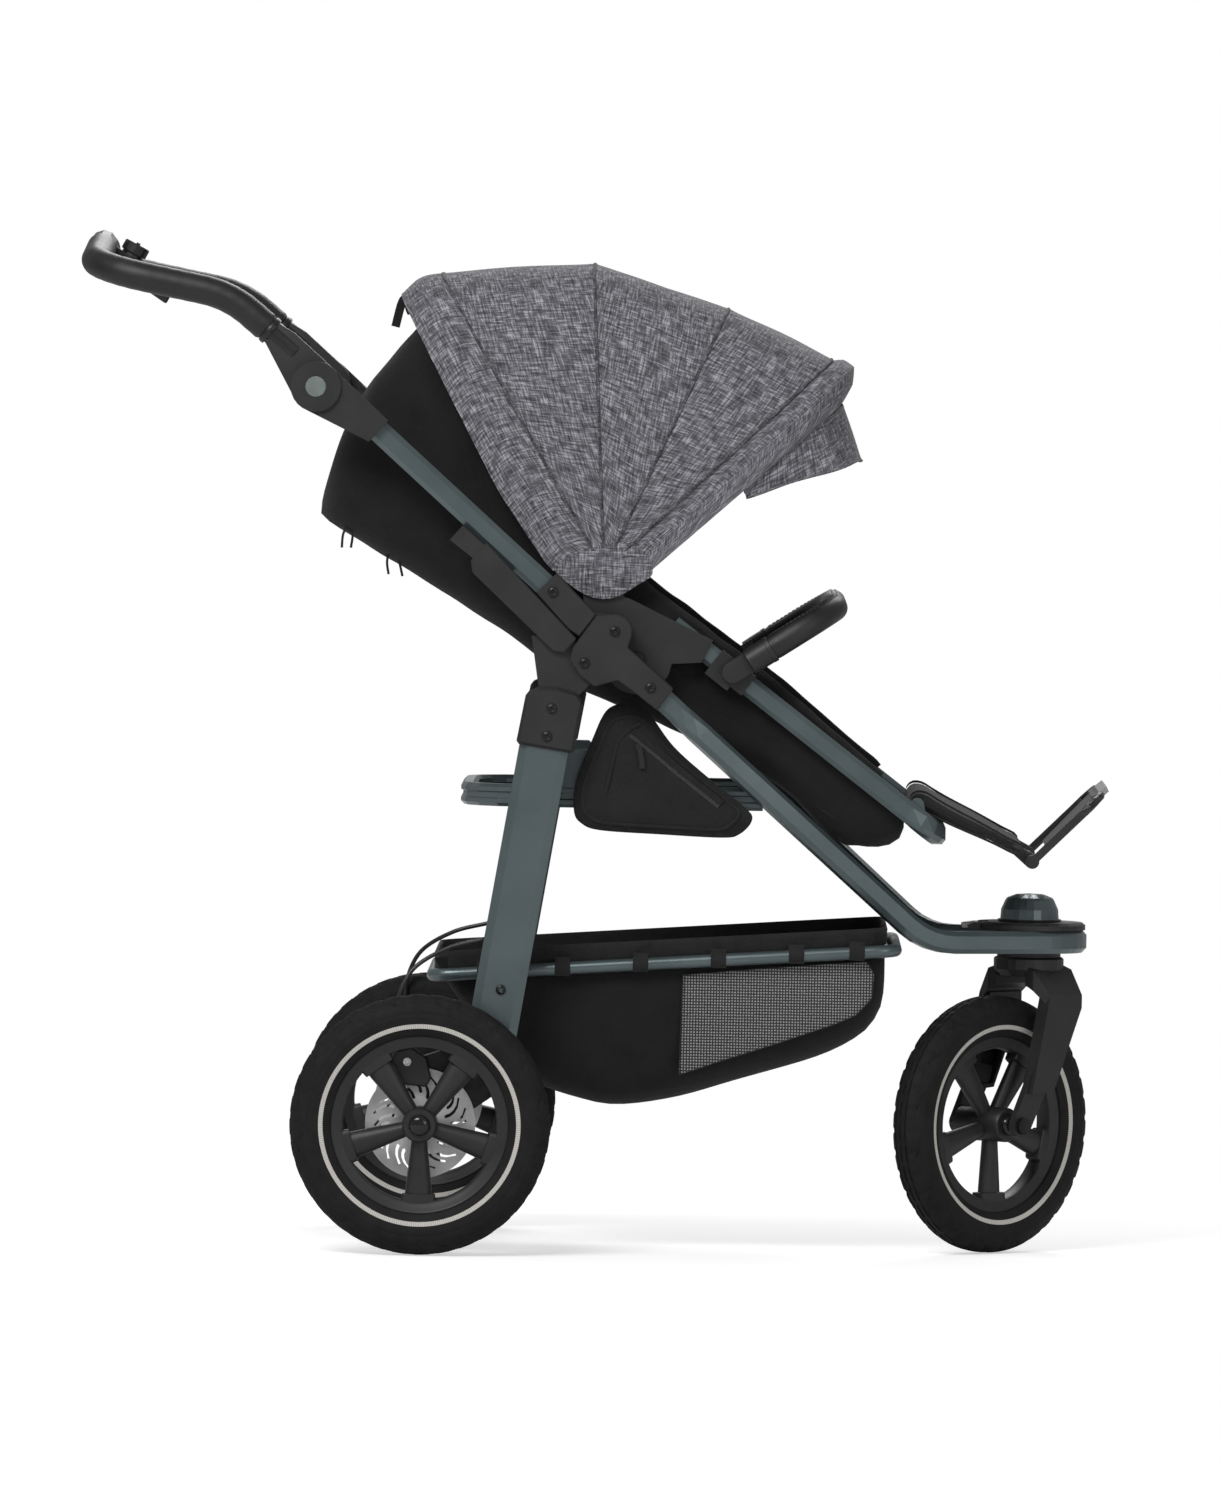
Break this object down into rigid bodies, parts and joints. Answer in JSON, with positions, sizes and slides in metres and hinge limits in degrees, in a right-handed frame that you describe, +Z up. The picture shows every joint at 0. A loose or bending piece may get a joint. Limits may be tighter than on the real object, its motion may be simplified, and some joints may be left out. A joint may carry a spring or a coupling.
{
  "type": "three-wheel stroller",
  "caption": "Folding three-wheel stroller with a swivelling front wheel, slotted disc brakes, reclining seat, folding canopy, footrest, bumper bar and under-seat basket.",
  "frame": {"origin": "centre of the bounding box, on the floor under the wheels", "axes": "+X to the front wheel, +Y to the left side of a person pushing, +Z up"},
  "size_m": [1.1984, 0.598, 1.1717],
  "materials": {
    "frame_paint": "smooth grey-blue metallic paint on bent aluminium tube",
    "black_plastic": "fine-grained moulded plastic",
    "dark_plastic": "satin black moulded plastic",
    "black_steel": "black powder coat on steel",
    "bright_steel": "brushed bare steel",
    "tyre_rubber": "black tyre rubber",
    "cable_black": "black cable sheath",
    "grip_leather": "stitched black imitation leather",
    "button_grey_green": "grey-green push button",
    "black_fabric": "black woven polyester",
    "grey_fabric": "grey mottled woven canvas",
    "dark_grey_fabric": "darker grey gathered canvas"
  },
  "bodies": {
    "front_frame": {"front_frame_tube": "frame_paint", "hinge_plate_right": "black_plastic", "hinge_plate_left": "black_plastic", "seat_loop_tube": "frame_paint", "caster_housing": "black_plastic", "caster_dome": "frame_paint", "basket_rail": "frame_paint", "basket_fabric": "black_fabric", "side_bag": "black_fabric"},
    "rear_frame": {"rear_leg_right": "frame_paint", "rear_leg_left": "frame_paint", "leg_cap_right": "black_plastic", "leg_cap_left": "black_plastic", "rear_axle": "black_steel", "brake_caliper_right": "dark_plastic", "brake_caliper_left": "dark_plastic", "brake_cable_right": "cable_black", "brake_cable_left": "cable_black"},
    "rear_wheel_right": {"tyre_rear_right": "tyre_rubber", "rim_rear_right": "black_plastic", "brake_disc_right": "bright_steel"},
    "rear_wheel_left": {"tyre_rear_left": "tyre_rubber", "rim_rear_left": "black_plastic", "brake_disc_left": "bright_steel"},
    "caster_fork": {"front_fork": "black_plastic", "front_axle": "black_steel"},
    "front_wheel": {"tyre_front": "tyre_rubber", "rim_front": "black_plastic"},
    "swivel_lock": {"swivel_lock_lever": "bright_steel"},
    "push_frame": {"upper_tube_right": "frame_paint", "upper_tube_left": "frame_paint", "upper_bracket_right": "black_plastic", "upper_bracket_left": "black_plastic", "handle_joint_right": "black_plastic", "handle_joint_left": "black_plastic"},
    "release_right": {"release_slide_right": "black_plastic"},
    "release_left": {"release_slide_left": "black_plastic"},
    "button_right": {"joint_button_right": "button_grey_green"},
    "button_left": {"joint_button_left": "button_grey_green"},
    "handlebar": {"handlebar_tube": "black_steel", "handlebar_grip_right": "grip_leather", "handlebar_grip_left": "grip_leather", "control_housing": "dark_plastic"},
    "dial": {"parking_dial": "dark_plastic"},
    "lever": {"brake_lever": "dark_plastic"},
    "seat_unit": {"seat_frame_tube": "frame_paint", "seat_arm_right": "black_plastic", "seat_arm_left": "black_plastic", "seat_tub": "black_fabric", "seat_pad": "black_fabric", "harness": "dark_plastic", "canopy_rear": "grey_fabric"},
    "bumper": {"bumper_bar": "grip_leather"},
    "footrest": {"footrest_board": "black_fabric"},
    "foot_frame": {"foot_plate": "black_plastic"},
    "canopy_bow_1": {"canopy_middle_rear": "grey_fabric"},
    "canopy_bow_2": {"canopy_middle_front": "grey_fabric"},
    "canopy_bow_3": {"canopy_front": "grey_fabric", "canopy_brim": "dark_grey_fabric"}
  },
  "joints": [
    {"name": "fold_handle", "type": "hinge", "parent": "front_frame", "child": "push_frame", "pos_m": [0.0242, 0, 0.72], "axis": [0, 1, 0], "range_deg": [0, 120]},
    {"name": "fold_legs", "type": "hinge", "parent": "front_frame", "child": "rear_frame", "pos_m": [-0.0098, 0, 0.683], "axis": [0, 1, 0], "range_deg": [-30, 0]},
    {"name": "handle_height", "type": "hinge", "parent": "push_frame", "child": "handlebar", "pos_m": [-0.3248, 0, 0.9955], "axis": [0, 1, 0], "range_deg": [-45, 45]},
    {"name": "wheel_spin_right", "type": "hinge", "parent": "rear_frame", "child": "rear_wheel_right", "pos_m": [-0.1898, -0.272, 0.15], "axis": [0, 1, 0], "continuous": true},
    {"name": "wheel_spin_left", "type": "hinge", "parent": "rear_frame", "child": "rear_wheel_left", "pos_m": [-0.1898, 0.272, 0.15], "axis": [0, 1, 0], "continuous": true},
    {"name": "fork_swivel", "type": "hinge", "parent": "front_frame", "child": "caster_fork", "pos_m": [0.5122, 0, 0.363], "axis": [0, 0, 1], "continuous": true},
    {"name": "wheel_spin_front", "type": "hinge", "parent": "caster_fork", "child": "front_wheel", "pos_m": [0.46977, -0.04243, 0.15], "axis": [-0.7071, 0.7071, 0], "continuous": true},
    {"name": "swivel_lock_lift", "type": "hinge", "parent": "front_frame", "child": "swivel_lock", "pos_m": [0.4637, 0, 0.379], "axis": [0, 1, 0], "range_deg": [0, 25]},
    {"name": "release_slide_right", "type": "slide", "parent": "push_frame", "child": "release_right", "axis": [-0.7455, 0, 0.6665], "range_m": [0, 0.02], "stiffness_N_per_m": 150, "springref_m": -0.01},
    {"name": "release_slide_left", "type": "slide", "parent": "push_frame", "child": "release_left", "axis": [-0.7455, 0, 0.6665], "range_m": [0, 0.02], "stiffness_N_per_m": 150, "springref_m": -0.01},
    {"name": "joint_button_right", "type": "slide", "parent": "push_frame", "child": "button_right", "axis": [0, 1, 0], "range_m": [0, 0.003], "stiffness_N_per_m": 400, "springref_m": -0.002},
    {"name": "joint_button_left", "type": "slide", "parent": "push_frame", "child": "button_left", "axis": [0, -1, 0], "range_m": [0, 0.003], "stiffness_N_per_m": 400, "springref_m": -0.002},
    {"name": "parking_dial_turn", "type": "hinge", "parent": "handlebar", "child": "dial", "pos_m": [-0.5443, 0, 1.15], "axis": [0.4695, 0, 0.8829], "range_deg": [0, 90]},
    {"name": "brake_lever_pull", "type": "hinge", "parent": "handlebar", "child": "lever", "pos_m": [-0.5558, 0, 1.127], "axis": [0, -1, 0], "range_deg": [0, 10], "stiffness_Nm_per_rad": 0.8, "springref_deg": -8.59},
    {"name": "seat_tilt", "type": "hinge", "parent": "front_frame", "child": "seat_unit", "pos_m": [0.0502, 0, 0.687], "axis": [0, 1, 0], "range_deg": [-25, 0]},
    {"name": "canopy_fold_1", "type": "hinge", "parent": "seat_unit", "child": "canopy_bow_1", "pos_m": [0.0102, 0, 0.79], "axis": [0, 1, 0], "range_deg": [-17, 0], "deforming": ["canopy_middle_rear"]},
    {"name": "canopy_fold_2", "type": "hinge", "parent": "canopy_bow_1", "child": "canopy_bow_2", "pos_m": [0.0102, 0, 0.79], "axis": [0, 1, 0], "range_deg": [-17, 0], "deforming": ["canopy_middle_front"]},
    {"name": "canopy_fold_3", "type": "hinge", "parent": "canopy_bow_2", "child": "canopy_bow_3", "pos_m": [0.0102, 0, 0.79], "axis": [0, 1, 0], "range_deg": [-17, 0], "deforming": ["canopy_front"]},
    {"name": "bumper_tilt", "type": "hinge", "parent": "seat_unit", "child": "bumper", "pos_m": [0.1602, 0, 0.6745], "axis": [0, 1, 0], "range_deg": [0, 45]},
    {"name": "footrest_tilt", "type": "hinge", "parent": "seat_unit", "child": "footrest", "pos_m": [0.3762, 0, 0.524], "axis": [0, 1, 0], "range_deg": [-25, 0]},
    {"name": "foot_frame_tilt", "type": "hinge", "parent": "footrest", "child": "foot_frame", "pos_m": [0.5112, 0, 0.46], "axis": [0, 1, 0], "range_deg": [-60, 40]}
  ],
  "couplings": [
    {"joint": "fold_legs", "follows": "fold_handle", "ratio": -0.25},
    {"joint": "canopy_fold_2", "follows": "canopy_fold_1", "ratio": 1},
    {"joint": "canopy_fold_3", "follows": "canopy_fold_1", "ratio": 1}
  ]
}
